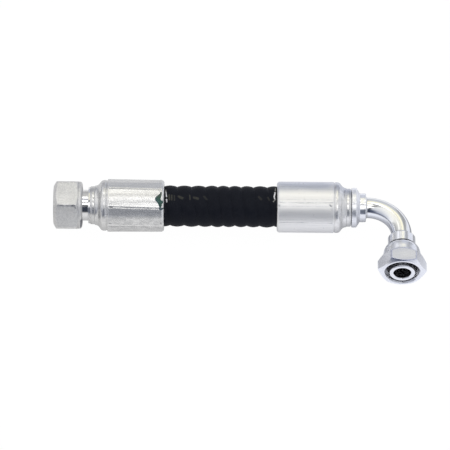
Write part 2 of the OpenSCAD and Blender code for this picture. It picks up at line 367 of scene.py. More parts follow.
FERRULE_L = metal("zinc_satin_neutral", (0.875, 0.868, 0.85), (0.94, 0.933, 0.913), (0.20, 0.26), (0.35, 1, 1), 2600, 150,
                  0.08, 0.04, speck=(1900, 0.74, grey(0.62)), stain=(60, 0.66, grey(0.76)), polish=0.0,
                  top=(0.0155, 0.0205, (0.66, 0.665, 0.675), "Y"), metallic=0.63, mottle=(430, 0.42, 0.0258), lines=0.13)
# straight-end nut: its bluish dark colour is the painted shade and dark reflection laid along its corner, below the
# corner, in the collar's crease and in the thread
NUT_L = metal("zinc_cast_neutral", (0.71, 0.705, 0.69), (0.91, 0.905, 0.885), (0.42, 0.52), (1, 1, 1), 1500, 140,
              0.70, 0.20, speck=(2300, 0.66, grey(0.62)), grain_share=0.78, spread=(0.41, 0.59), metallic=0.85,
              shade_and_soil=(0.035, 0.045, 0.085))
STEM_L = metal("zinc_turned_neutral", grey(0.84), grey(0.93), (0.08, 0.12), (6, 1, 1), 900, 200, 0.04)
# elbow-end ferrule: its far side is tinted bluish grey as a painted reflection
FERRULE_R = metal("zinc_satin_lavender", (0.98, 0.97, 0.945), (1.0, 0.99, 0.965), (0.26, 0.32), (0.35, 1, 1), 2600,
                  150, 0.03, 0.01, speck=(1900, 0.75, (0.78, 0.80, 0.85)), top=(0.0155, 0.0205, (0.50, 0.53, 0.62), "Y"),
                  polish=0.06, metallic=0.52, mottle=(300, 0.02), lines=0.05)
# collars are left satin, sockets and the nipple's shank are bright: see the polish attribute
# its near-black dark colour is the painted shade on the cone nipple inside the nut, in its groove and in its bore
BRIGHT = metal("zinc_bright", (0.88, 0.89, 0.92), (0.96, 0.965, 0.98), (0.27, 0.33), (1, 1, 1), 1800, 120, 0.03, 0.04,
               shade_and_soil=(0.020, 0.020, 0.026), polish=0.15, metallic=0.86)
# elbow tube: the warm straw tint along its top is a painted reflection streak
POLISHED = metal("zinc_polished_tube", (0.85, 0.87, 0.91), (0.94, 0.95, 0.98), (0.11, 0.16), (1, 1, 1), 1500, 90,
                 0.02, 0.03, top=(0.0208, 0.0229, (0.97, 0.95, 0.84)))
# elbow-end nut: the dark bluish tint on its top flat is a painted reflection, and its near-black dark colour is the
# painted shade inside the thread
NUT_R = metal("zinc_bright_nut", (0.85, 0.86, 0.90), (0.94, 0.95, 0.975), (0.22, 0.28), (1, 1, 1), 2200, 110, 0.05,
              0.05, shade_and_soil=(0.012, 0.012, 0.016), metallic=0.90, top=(0.0286, 0.0297, (0.42, 0.445, 0.60)))
BRAZE = metal("braze_under_zinc", (0.80, 0.80, 0.79), (0.92, 0.92, 0.92), (0.16, 0.26), (1, 1, 1), 2500, 500,
              0.2, 0.3)


def rubber(name, base, light, rough, weave=0.0, shine=0.5, scuff=None):
    mat, nt, b = new_material(name)
    plain = coords(nt)
    clouds = noise_node(nt, plain, 220, 4, 0.6)
    fine = noise_node(nt, plain, 3800, 2, 0.5)
    colour = ramp(nt, maths(nt, "ADD", maths(nt, "MULTIPLY", clouds, 0.7), maths(nt, "MULTIPLY", fine, 0.3)),
                  [(0.38, base), (0.68, light)])
    if scuff:
        # painted highlights: weak marks give an olive sheen on the crests, strong ones white glints
        painted_glint_share = attribute(nt, "scuff")
        colour = mix_colour(nt, remap(nt, painted_glint_share, 0, 1, 0.0, 0.1), colour, (0.085, 0.082, 0.066))
        colour = mix_colour(nt, remap(nt, painted_glint_share, 0, 1, 0.14, 0.9), colour, scuff)
    nt.links.new(colour, b.inputs["Base Color"])
    nt.links.new(remap(nt, clouds, rough[0], rough[1], 0.35, 0.65), b.inputs["Roughness"])
    b.inputs["Specular IOR Level"].default_value = shine
    normal = bump_node(nt, fine, 0.25, 0.00006)
    if weave:
        w = nt.nodes.new("ShaderNodeTexWave")
        w.wave_type, w.bands_direction = "BANDS", "X"
        w.inputs["Scale"].default_value = 480
        w.inputs["Distortion"].default_value = 0.6
        nt.links.new(plain, w.inputs["Vector"])
        normal = bump_node(nt, w.outputs["Fac"], weave, 0.00005, normal)
    nt.links.new(normal, b.inputs["Normal"])
    return mat


# the last colour is the white of the painted glints beside the ferrule mouths
COVER = rubber("rubber_wrapped_cover", (0.0084, 0.0098, 0.0152), (0.0128, 0.0142, 0.0198), (0.44, 0.58), 0.3, 0.08,
               (0.93, 0.93, 0.95))
SEAL = rubber("rubber_seal", (0.008, 0.008, 0.009), (0.016, 0.016, 0.018), (0.28, 0.4), 0.0, 0.5)
TUBE_RUBBER = rubber("rubber_inner", (0.012, 0.012, 0.013), (0.022, 0.022, 0.024), (0.5, 0.7))


def paint():
    mat, nt, b = new_material("paint_mark_green")
    plain = coords(nt)
    clouds = noise_node(nt, plain, 900, 5, 0.65, 0.5)
    along = ramp(nt, attribute(nt, "lay"), [(0.0, (0.13, 0.14, 0.115)), (0.16, (0.105, 0.125, 0.09)), (0.36, (0.045, 0.105, 0.075)),
                                            (0.56, (0.040, 0.110, 0.095)), (0.78, (0.020, 0.070, 0.042)), (0.92, (0.055, 0.095, 0.10)), (1.0, (0.09, 0.11, 0.14))])
    patchy = mix_colour(nt, remap(nt, clouds, 0.0, 0.85, 0.46, 0.68), along, (0.085, 0.145, 0.125))
    colour = mix_colour(nt, maths(nt, "MULTIPLY", attribute(nt, "rim"), 0.7), patchy, (0.05, 0.09, 0.125))
    nt.links.new(colour, b.inputs["Base Color"])
    nt.links.new(remap(nt, clouds, 0.45, 0.7, 0.3, 0.7), b.inputs["Roughness"])
    b.inputs["Specular IOR Level"].default_value = 0.3
    nt.links.new(bump_node(nt, clouds, 0.3, 0.00008), b.inputs["Normal"])
    return mat


PAINT = paint()


def wire_material():
    mat, nt, b = new_material("wire_spiral_steel")
    b.inputs["Metallic"].default_value = 1.0
    plain = coords(nt)
    w = nt.nodes.new("ShaderNodeTexWave")
    w.wave_type, w.bands_direction = "BANDS", "DIAGONAL"
    w.inputs["Scale"].default_value = 700
    nt.links.new(plain, w.inputs["Vector"])
    clouds = noise_node(nt, plain, 300, 3)
    nt.links.new(ramp(nt, maths(nt, "MULTIPLY", w.outputs["Fac"], clouds), [(0.1, (0.35, 0.30, 0.22)), (0.6, (0.66, 0.62, 0.54))]),
                 b.inputs["Base Color"])
    nt.links.new(remap(nt, clouds, 0.25, 0.45), b.inputs["Roughness"])
    nt.links.new(bump_node(nt, w.outputs["Fac"], 0.8, 0.0002), b.inputs["Normal"])
    return mat


# --------------------------------------------------------------- ferrules
FERRULE_LEN, CRIMP_R = 47.0, 16.2
RIDGE = math.radians(45)
HALF_DIE = RIDGE / 2
GRIP_PITCH = (FERRULE_LEN - 3.6 - 12.1) / 7
ROUND = 1.7


def turned_profile():
    """The ferrule's outside before the die marks: neck, flare, bead, roll, body and rounded tail."""
    neck = outline([(0.05, 11.5), (0.40, 11.93), (0.95, 12.05, 0.08), (1.22, 11.93, 0.08), (1.5, 12.05, 0.08), (2.85, 12.05, 0.25),
                    (3.25, 12.42, 0.3), (4.1, 12.58, 0.6), (4.8, 12.85, 0.8), (5.4, 13.25, 0.8), (6.0, 13.9, 0.8), (6.6, 14.75, 0.8),
                    (7.2, 15.45, 0.7), (7.8, 15.87, 0.8), (8.6, 16.07, 0.8), (9.6, 16.10, 0.8), (10.25, 15.98, 0.4), (10.55, 15.78, 0.2),
                    (10.85, 15.72, 0.15), (11.1, 15.8)], 0.24, 0.1, 3, closed=False)
    z = np.concatenate([np.linspace(11.2, 13.2, 15), np.arange(13.4, 45.0, 0.23), [45.12]])
    body = np.stack([z, np.full(len(z), CRIMP_R)], -1)
    tail_a = np.radians(np.concatenate([[5], np.linspace(12, 84, 11), [90]]))
    edge = FERRULE_LEN - ROUND
    tail = np.stack([edge + ROUND * np.sin(tail_a), CRIMP_R - ROUND + ROUND * np.cos(tail_a)], -1)
    return np.concatenate([neck, body, tail])


OUTSIDE = turned_profile()


def skin(z, a, side):
    """The outside radius at station z and angle a, and how much the metal is darkened there: painted shade in creases
    and grooves, with some dirt.
    """
    seed = side["seed"]
    base = np.interp(z, OUTSIDE[:, 0], OUTSIDE[:, 1])
    turn = math.radians(side["turn"]) + np.radians(np.interp(z, (13.0, 42.7), side["twist"]))
    phi = turned(a, turn)
    knots = np.arange(-4, 5)
    phi = phi - np.radians(np.interp(phi, knots * RIDGE, [side["shift"].get(int(k) % 8, 0.0) for k in knots]))
    near = np.round(phi / RIDGE)
    which = near.astype(int) % 8
    s = (phi - near * RIDGE) * 16.4
    mid = HALF_DIE - np.abs(s) / 16.4
    off = side["die"]
    die = -off * np.cos(mid) + np.sqrt((CRIMP_R + off) ** 2 - (off * np.sin(mid)) ** 2)
    # where two dies meet the metal is nipped into a crease, which wanders and fades a little
    s = s + 0.10 * wander(z / 8.0, which * 3.7, seed) + 0.035 * wander(z / 1.9, which * 5.1, seed + 1)
    deep = 0.72 + 0.28 * wander(z / 4.5, which * 2.3 + 11, seed + 2)
    crease = -0.17 * bump(s, 0.33) * deep + 0.045 * bump(np.abs(s) - 0.85, 0.32)
    faint = -0.035 * bump(np.abs(s + 0.12 * wander(z / 6.0, which * 1.3, seed + 8)) - 2.2, 0.24) * (0.5 + 0.5 * wander(z / 7.0, which * 4.1 + 5, seed + 7))
    on_body = smooth((z - 11.5) / 1.0) * (1 - smooth((z - 44.9) / 1.1))
    taper = np.interp(z, (11.0, 45.0), side["taper"])
    crimp = die * taper + (crease + faint) * on_body
    crimp = crimp + 0.05 * bump(z - 11.7, 0.35) * smooth((z - 11.1) / 0.4)
    # the ends of each crease are nipped into a small lens
    for end, reach in ((12.5, 0.7), (45.0, 0.6)):
        crimp = crimp - 0.10 * bump(z - end, reach) * bump(s, 0.55) + 0.05 * bump(z - end, reach) * bump(np.abs(s) - 0.9, 0.4)
    # shallow unevenness of pressed metal
    crimp = crimp + 0.009 * wander(z / 3.4, a * 26 / TAU, seed + 3, 26) + 0.003 * wander(z / 1.1, a * 60 / TAU, seed + 4, 60)
    share = smooth((z - 10.95) / 0.38)
    low = base + 0.016 * wander(z / 1.5, a * 18 / TAU, seed + 5, 18) * smooth(z / 0.5) + 0.007 * wander(z / 0.6, a * 50 / TAU, seed + 6, 50) * smooth(z / 0.5)
    r = low * (1 - share) + (crimp - CRIMP_R + base) * share
    # painted shade: darker in the creases and the faint grooves beside them, in the neck's grooves and steps, and a
    # little over the whole neck
    dirt_and_shade = (0.70 + 0.25 * (which == 5)) * min(1.0, side["die"] / 6.0) * bump(s - 0.10, 0.34) * on_body * deep + 0.26 * bump(np.abs(s) - 2.2, 0.25) * on_body
    dirt_and_shade = dirt_and_shade + (0.16 if side["die"] > 5 else 0.17) * (1 - smooth((z - 10.2) / 0.6))
    dirt_and_shade = dirt_and_shade + 0.30 * bump(z - 10.85, 0.22) + 0.25 * bump(z - 1.22, 0.16) + 0.22 * bump(z - 3.05, 0.2)
    for mz, ma, length, width, height, tilt, shade_and_soil in side["marks"]:
        off = turned(a, math.radians(ma)) * 16.3
        c, q = math.cos(math.radians(tilt)), math.sin(math.radians(tilt))
        p, w = (z - mz) * c + off * q, -(z - mz) * q + off * c
        shape = np.exp(-(p / length) ** 4) * bump(w, width)
        r = r + height * shape
        dirt_and_shade = dirt_and_shade + shade_and_soil * shape
    return r, np.clip(dirt_and_shade, 0, 1)


def ferrule(name, place, side, material, node, cells=38):
    inside_line = [(FERRULE_LEN, 13.05, 0.15), (FERRULE_LEN - 1.2, 12.75, 0.2), (FERRULE_LEN - 3.6, 11.5)]
    for i in range(6, -1, -1):
        g = 12.1 + i * GRIP_PITCH
        inside_line += [(g + GRIP_PITCH - 1.1, 11.5), (g + GRIP_PITCH - 1.6, 12.0), (g + 0.5, 12.0), (g, 11.5)]
    inside_line += [(9.8, 11.5), (9.8, 9.6), (4.95, 9.6), (4.95, 7.75), (0.05, 7.75)]
    inner = outline(inside_line, 1.4, 0.08, 2, closed=False)
    t = np.arange(cells) / cells
    # points stand closer together along the creases
    one = RIDGE * (t - 0.095 * np.sin(TAU * t))
    a = math.radians(side["turn"]) + np.concatenate([one + k * RIDGE for k in range(8)])
    m = len(a)
    n_out = len(OUTSIDE)
    loop = np.concatenate([OUTSIDE, inner])
    zz, rr = np.repeat(loop[:, :1], m, 1), np.repeat(loop[:, 1:], m, 1)
    aa = a[None, :] + 0 * zz
    grime = 0 * zz
    rr[:n_out], grime[:n_out] = skin(zz[:n_out], aa[:n_out], side)
    rr[n_out - 1] = rr[n_out - 2] - 0.16
    co = place(zz, aa, rr)
    co[..., 2] = np.maximum(co[..., 2], 0.00002)
    polish = 0 * zz
    polish[:n_out] = 1 - smooth((zz[:n_out] - 10.6) / 0.8)
    return piece(ring(name, co, grime=grime, polish=polish), HOSE, "satin_zinc", material, node)


# each mark is (station, angle, half length, half width, height, tilt of its long axis, painted shade and dirt)
LEFT = {
    "turn": 41.4, "die": 6.6, "twist": (-1.7, 0.9), "taper": (1.010, 0.994), "seed": 11, "shift": {5: 4.5},
    "marks": [
        (13.7, 220.8, 1.15, 0.30, -0.26, 2, 0.8), (13.4, 211.0, 1.0, 0.20, -0.10, -48, 0.5), (20.9, 159.0, 1.5, 0.30, 0.05, 62, 0.1),
        (14.1, 176.2, 1.0, 0.34, -0.14, 5, 0.4), (13.0, 259.8, 0.9, 0.5, -0.16, 12, 0.5), (45.25, 259.8, 0.7, 0.6, -0.22, 0, 0.9),
        (45.2, 222.0, 0.7, 0.35, -0.10, -10, 0.3), (31.0, 206.5, 1.8, 0.20, -0.018, 4, 0.12), (36.5, 233.0, 1.4, 0.25, -0.02, -6, 0.15),
        (8.6, 233.0, 1.3, 1.6, -0.05, 80, 0.0), (25.5, 229.5, 2.6, 0.25, -0.02, 5, 0.15), (19.0, 190.5, 1.3, 0.22, 0.012, -30, 0.05),
        (28.0, 74.0, 2.0, 0.3, -0.04, 20, 0.2), (33.0, 318.0, 1.6, 0.3, -0.05, -25, 0.2), (17.0, 20.0, 1.2, 0.3, -0.04, 50, 0.2)]}
RIGHT = {
    "turn": 18.9, "die": 2.8, "twist": (0.0, 0.0), "taper": (0.993, 0.992), "seed": 29, "shift": {0: -2.6, 7: -0.4, 6: -2.0},
    "marks": [
        (13.4, 327.5, 1.1, 0.34, -0.26, 42, 0.75), (45.9, 326.4, 0.8, 0.42, -0.20, 20, 0.7), (12.9, 318.5, 0.9, 0.22, -0.10, 55, 0.4),
        (29.5, 341.0, 1.4, 0.28, 0.035, 68, 0.1), (24.0, 306.5, 0.5, 0.3, -0.06, 0, 0.3), (38.0, 312.0, 2.2, 0.24, -0.02, -5, 0.12),
        (18.0, 300.0, 1.8, 0.22, -0.02, 8, 0.12), (34.0, 10.0, 1.6, 0.3, -0.025, -40, 0.1), (27.0, 120.0, 2.0, 0.3, -0.05, 20, 0.2),
        (35.0, 200.0, 1.4, 0.3, -0.05, -35, 0.2), (9.0, 335.0, 1.2, 1.5, -0.04, 80, 0.0)]}
ferrule("ferrule_straight_end", on_left, LEFT, FERRULE_L, "ferrule_left")
ferrule("ferrule_elbow_end", on_right, RIGHT, FERRULE_R, "ferrule_right")


# ------------------------------------------------------------- paint mark
def reach(poly, x, y):
    """Distance from each point to the outline, above zero inside it."""
    p = np.array(poly, float)
    q = np.roll(p, -1, 0)
    best = np.full(x.shape, 1e9)
    inside = np.zeros(x.shape, bool)
    for (x0, y0), (x1, y1) in zip(p, q):
        inside ^= ((y0 > y) != (y1 > y)) & (x < (x1 - x0) * (y - y0) / (y1 - y0 + 1e-12) + x0)
        dx, dy = x1 - x0, y1 - y0
        t = np.clip(((x - x0) * dx + (y - y0) * dy) / (dx * dx + dy * dy), 0, 1)
        best = np.minimum(best, np.hypot(x - x0 - t * dx, y - y0 - t * dy))
    return np.where(inside, best, -best)


def paint_mark():
    """A ragged dab of paint on the straight end's ferrule near its tail: a thin closed shell that follows the skin."""
    edge = [(44.89, 183.2), (45.53, 183.9), (45.44, 192.2), (45.01, 197.0), (45.03, 202.5), (45.48, 204.7), (45.98, 203.6),
            (46.52, 206.9), (46.30, 210.5), (45.63, 212.1), (45.52, 214.9), (45.08, 218.0), (44.90, 220.0), (44.71, 222.0),
            (45.16, 223.4), (45.66, 221.8), (46.50, 221.3), (46.60, 222.4), (46.04, 223.5), (45.23, 225.4), (44.53, 224.9),
            (44.21, 222.9), (44.33, 220.7), (44.39, 218.7), (43.75, 213.7), (42.85, 209.3), (42.02, 206.2), (41.50, 203.3),
            (41.49, 198.7), (41.85, 195.7), (43.04, 192.0), (44.28, 188.3), (44.65, 184.7)]
    k = math.radians(1) * 16.3
    poly = [(u, a * k) for u, a in edge]
    u = np.arange(41.1, 46.85, 0.065)
    v = np.arange(182.0, 227.0, 0.22)
    uu, vv = np.meshgrid(u, v, indexing="ij")
    d = reach(poly, uu, vv * k) + 0.08 + 0.25 * smooth((vv - 212.0) / 5.0) + 0.04 * wander(uu / 0.5, vv * k / 0.5, 301) + 0.025 * wander(uu / 0.2, vv * k / 0.2, 302)
    full = d > 0
    cell = full[:-1, :-1] & full[1:, :-1] & full[1:, 1:] & full[:-1, 1:]
    aa = np.radians(vv)
    r, _ = skin(uu, aa, LEFT)
    thick = 0.012 + 0.06 * smooth(d / 0.3) + 0.012 * wander(uu / 0.35, vv * k / 0.35, 303)
    over = on_left(uu, aa, r + thick)
    under = on_left(uu, aa, r - 0.06)
    n, m = uu.shape
    ids = np.arange(n * m).reshape(n, m)
    ci, cj = np.nonzero(cell)
    quad = np.stack([ids[ci, cj], ids[ci + 1, cj], ids[ci + 1, cj + 1], ids[ci, cj + 1]], -1)
    faces = [quad, quad[:, ::-1] + n * m]
    padded = np.pad(cell, 1)
    for di, dj, p0, p1 in ((-1, 0, (0, 1), (0, 0)), (1, 0, (1, 0), (1, 1)), (0, -1, (0, 0), (1, 0)), (0, 1, (1, 1), (0, 1))):
        rim = cell & ~padded[1 + di:1 + di + cell.shape[0], 1 + dj:1 + dj + cell.shape[1]]
        i, j = np.nonzero(rim)
        t0, t1 = ids[i + p0[0], j + p0[1]], ids[i + p1[0], j + p1[1]]
        faces.append(np.stack([t0, t0 + n * m, t1 + n * m, t1], -1))
    faces = np.concatenate(faces)
    used = np.unique(faces)
    back = np.full(2 * n * m, -1)
    back[used] = np.arange(len(used))
    co = np.concatenate([over.reshape(-1, 3), under.reshape(-1, 3)])[used]
    faces = back[faces]
    if volume_sign(co - co.mean(0), faces) < 0:
        faces = faces[:, ::-1]
    ob = mesh_from("paint_mark_on_ferrule", co, faces)
    lay = np.clip((vv - 183.0) / 42.0, 0, 1)
    side = np.clip(1 - (uu - np.interp(vv, [183, 192, 195.7, 203, 209, 218, 226], [44.9, 43.0, 41.85, 41.5, 42.85, 44.4, 44.4])) / 0.9, 0, 1)
    keep(ob, lay=np.concatenate([lay.ravel()] * 2)[used], rim=np.concatenate([side.ravel()] * 2)[used])
    return piece(ob, HOSE, "satin_zinc", PAINT)


paint_mark()

# ------------------------------------------------------------- hose cover
HOSE_X0, HOSE_X1 = -84.98355, 60.71645
TAIL_L, TAIL_R = NECK_L + FERRULE_LEN, NECK_R - FERRULE_LEN
SPIRAL_R = 10.29
MEAN_R = 12.5
# stations of the wrap's crests along the back of the hose
CRESTS = [-62.2, -53.1, -44.16, -35.2, -25.95, -17.8, -10.4, -3.0, 4.38, 12.69, 21.7, 30.8, 39.9]
# painted glints and crest sheen: station and angle of each end, half width in mm, strength
PAINTED_GLINTS = [(-46.98, 72.0, -46.85, 79.0, 0.33, 0.30), (-46.85, 80.0, -46.55, 87.0, 0.36, 0.62), (-46.60, 87.5, -46.38, 97.5, 0.36, 0.97),
          (-46.34, 107.0, -46.16, 114.5, 0.36, 1.0),
          (-44.7, 94.0, -44.6, 108.0, 0.50, 0.075), (-43.1, 95.0, -43.0, 109.0, 0.45, 0.060), (-41.4, 96.0, -41.3, 110.0, 0.40, 0.040),
          (-38.4, 97.0, -36.4, 103.0, 0.85, 0.060), (-31.6, 94.0, -31.5, 107.0, 0.40, 0.055), (-29.0, 100.0, -26.6, 104.0, 0.80, 0.055),
          (-22.5, 98.0, -21.0, 105.0, 0.70, 0.030), (12.0, 97.0, 13.5, 105.0, 0.70, 0.030), (17.8, 98.0, 18.6, 106.0, 0.60, 0.035),
          (22.60, 63.0, 22.45, 76.0, 0.36, 0.30), (22.25, 82.0, 22.15, 88.0, 0.38, 0.85), (22.15, 88.0, 21.72, 96.5, 0.40, 1.0),
          (21.72, 96.5, 22.02, 103.0, 0.34, 0.85), (22.6, 104.5, 21.2, 111.5, 0.30, 0.32)]


def hose_cover():
    m = 320
    a = angles(m)
    free = np.arange(TAIL_L - 1.2, TAIL_R + 1.2001, 0.24)
    grip = [(9.8, 11.48)]
    for i in range(7):
        g = 12.1 + i * GRIP_PITCH
        grip += [(g, 11.48), (g + 0.5, 11.98), (g + GRIP_PITCH - 1.6, 11.98), (g + GRIP_PITCH - 1.1, 11.48)]
    grip = [(u, r) for u, r in grip if 9.9 < u < FERRULE_LEN - 3.7]
    left = [(HOSE_X0, 11.46)] + [(NECK_L + u, r - 0.01) for u, r in grip] + [(TAIL_L - 3.6, 11.46)]
    right = [(TAIL_R + 3.6, 11.46)] + [(NECK_R - u, r - 0.01) for u, r in reversed(grip)] + [(HOSE_X1, 11.46)]
    lo = outline(left, 1.2, 0.05, 2, closed=False)
    hi = outline(right, 1.2, 0.05, 2, closed=False)
    mid = np.stack([free, np.full(len(free), MEAN_R)], -1)
    inner = outline([(HOSE_X1, 11.40), (HOSE_X1, SPIRAL_R + 0.02), (HOSE_X0, SPIRAL_R + 0.02), (HOSE_X0, 11.40)], 4.0, 0.0, 1, closed=False)
    loop = np.concatenate([lo, mid, hi, inner])
    x = np.repeat(loop[:, :1], m, 1)
    r = np.repeat(loop[:, 1:], m, 1)
    scuff = 0 * x
    n0, n1 = len(lo), len(lo) + len(mid)
    xs, aa = x[n0:n1], a[None, :] + 0 * x[n0:n1]
    # one tape wound along the hose: broad crests, narrow valleys between them
    count = np.interp(xs, CRESTS, np.arange(len(CRESTS)))
    lap = turned(aa, math.radians(36 + 180)) + math.pi
    phase = count + 0.5 - lap / TAU + 0.02 * wander(lap * 5 / TAU, np.floor(count) * 1.3, 3)
    f = phase - np.floor(phase)
    hump = np.abs(np.sin(math.pi * f)) ** 0.85
    swell = wander(np.floor(phase) * 1.7, 0 * xs, 9)
    wave = -0.40 + (1.02 + 0.08 * swell) * hump
    # lapped edge of the tape: a fine step beside each valley, and ribs pressed in along it
    wave = wave + 0.07 * smooth((f - 0.78) / 0.03) * (1 - smooth((f - 0.92) / 0.07))
    wave = wave + 0.016 * np.sin(TAU * f * 7) * hump
    wave = wave + 0.025 * wander(xs / 1.8, aa * 44 / TAU, 21, 44) + 0.04 * wander(xs / 6.0, aa * 12 / TAU, 22, 12)
    # small flats and creases where the tape was pulled over
    wave = wave - 0.05 * bump(f - 0.33, 0.05) * (wander(xs / 4.0, aa * 9 / TAU, 23, 9) > 0.25)
    share = smooth((xs - TAIL_L + 0.7) / 1.2) * smooth((TAIL_R + 0.7 - xs) / 1.2)
    r[n0:n1] = MEAN_R + wave * share - 0.35 * (1 - share)
    for x0, a0, x1, a1, width, strength in PAINTED_GLINTS:
        k = math.radians(1) * MEAN_R
        dx, dy = x1 - x0, (a1 - a0) * k
        px, py = xs - x0, turned(aa, math.radians(a0)) * MEAN_R
        t = np.clip((px * dx + py * dy) / (dx * dx + dy * dy), 0, 1)
        far = np.hypot(px - t * dx, py - t * dy) + 0.10 * wander(xs / 0.5, aa * 150 / TAU, 24, 150)
        patch = 1 - smooth((far - width * 0.72) / (width * 0.56))
        scuff[n0:n1] = np.maximum(scuff[n0:n1], strength * patch)
        r[n0:n1] = r[n0:n1] + 0.05 * patch
    co = np.stack([x, AXIS_Y + r * np.cos(a)[None, :], AXIS_Z + r * np.sin(a)[None, :]], -1) * MM
    return piece(ring("hose_cover_wrapped", co, scuff=scuff), HOSE, "cover_rubber", COVER, "hose_cover")


hose_cover()


# ------------------------------------------------------------------ stems
def turned_part(name, place, loop, m, body, slot, material, *nodes, seed=0, wobble=0.006, mod=None, grime=None,
                polish=None):
    a = angles(m)
    z = np.repeat(loop[:, :1], m, 1)
    r = np.repeat(loop[:, 1:], m, 1)
    aa = a[None, :] + 0 * z
    r = r + wobble * wander(z / 1.3, aa * 24 / TAU, seed, 24)
    if mod is not None:
        z, r = mod(z, r, aa)
    shade_and_soil = 0 * z if grime is None else grime(z, r, aa)
    shine = 1 + 0 * z if polish is None else polish(z, r, aa)
    return piece(ring(name, place(z, aa, r), grime=shade_and_soil, polish=shine), body, slot, material, *nodes)


BARB_R = 12.7 / 2 - 0.02
BARB_PITCH = (45 - 2 - 11) / 8
CONE = math.tan(math.radians(12))


def barbed():
    pts = [(0.05, 7.7), (5.0, 7.7), (5.05, 9.1), (5.3, 9.35), (8.7, 9.35), (9.0, 9.05), (9.05, BARB_R), (11.0, BARB_R)]
    for i in range(8):
        z = 11 + i * BARB_PITCH
        pts += [(z + 0.1, BARB_R - 0.4), (z + 1.4, BARB_R - 0.4), (z + BARB_PITCH - 0.6, BARB_R), (z + BARB_PITCH, BARB_R)]
    return pts + [(43.8, BARB_R), (45.0, BARB_R - 0.6), (45.0, 4.75)]


def cone_end(z, r, rf, d):
    """24 degree sealing cone with its O-ring groove, up to the flange of radius rf."""
    e = z + d * (rf - r) / CONE
    return [(z, r - 0.35, 0.15), (z + d * 0.3, r, 0.15), (z + d * 4, r + 4 * CONE, 0.1),
            (z + d * 4, r + 5 * CONE - 1.16, 0.12), (z + d * 6, r + 5 * CONE - 1.16, 0.12),
            (z + d * 6, r + 6 * CONE, 0.1), (e, rf, 0.3)]


U_BACK, U_FRONT, U_NOSE = -4.8, -23.1, -22.6
stem_l = [(U_NOSE, 5.05, 0.2)] + cone_end(U_NOSE, 8.9, 10.85, 1) + [
    (U_BACK - 5.3, 10.85, 0.2), (U_BACK - 4.2, 9.75, 0.5), (-1.0, 9.75, 0.18), (-1.0, 11.3, 0.22), (-0.72, 11.55, 0.1),
    (-0.02, 11.5, 0.05), (0.0, 9.9, 0.05)] + barbed() + [(U_NOSE + 0.45, 4.75, 0.1)]
turned_part("stem_straight_end", on_left, outline(stem_l, 0.6), 160, HOSE, "bright_zinc", STEM_L, "stem_left", seed=41)


def collar_mod(z, r, a):
    out = r > 11.5
    r = r + out * 0.02 * wander(z / 0.9, a * 30 / TAU, 44, 30)
    sock = (r > 8.6) & (z < -5.4)
    r = r + sock * 0.025 * wander(z / 1.0, a * 14 / TAU, 45, 14)
    return z, r


stem_r = [(-9.4, 6.52, 0.15), (-9.4, 8.75, 0.35), (-9.05, 9.1, 0.2), (-5.55, 9.1, 0.25), (-5.25, 9.4, 0.1),
          (-3.55, 12.2, 0.35), (-3.1, 12.55, 0.2), (-0.55, 12.55, 0.3), (-0.3, 12.25, 0.12), (-0.3, 7.7, 0.1)]
turned_part("stem_elbow_end", on_right, outline(stem_r + barbed() + [(-3.4, 4.75, 0.1), (-3.4, 6.52, 0.1)], 0.5), 168,
            HOSE, "bright_zinc", BRIGHT, "stem_right", seed=42, mod=collar_mod,
            polish=lambda z, r, a: np.where(z > -5.3, 0.0, 1.0))

D_TAIL, D_BACK, D_FRONT, D_NOSE = 22.2, 31.5, 50.3, 50.8
nip = [(D_NOSE, 5.85, 0.25)] + cone_end(D_NOSE, 7.95, 9.8, -1) + [
    (D_BACK + 6.15, 9.8, 0.2), (D_BACK + 5, 8.65, 0.4), (D_BACK - 0.50, 8.65, 0.08), (D_BACK - 0.64, 8.25, 0.08), (D_BACK - 1.24, 8.25, 0.08),
    (D_BACK - 1.38, 8.65, 0.08), (D_TAIL + 1.75, 8.65, 0.35), (D_TAIL, 7.05, 0.2),
    (D_TAIL, 6.52, 0.1), (D_TAIL + 6, 6.52, 0.1), (D_TAIL + 6, 5.5, 0.1), (D_NOSE - 0.4, 5.5, 0.12)]
turned_part("cone_nipple_elbow_end", on_outlet, outline(nip, 0.45), 256, HOSE, "bright_zinc", BRIGHT,
            "cone_nipple_right", seed=43,
            # painted shade: the nipple is darkened from its groove behind the nut through the cone inside the nut, and
            # in the bore near the nose
            grime=lambda z, r, a: np.where(r > 7, 1.6 * smooth((z - D_BACK + 1.75) / 0.4) * (1 - smooth((z - D_NOSE + 0.55) / 0.25)),
                                          1.5 * (r < 5.6) * smooth((D_NOSE - 0.5 - z) / 0.6)))


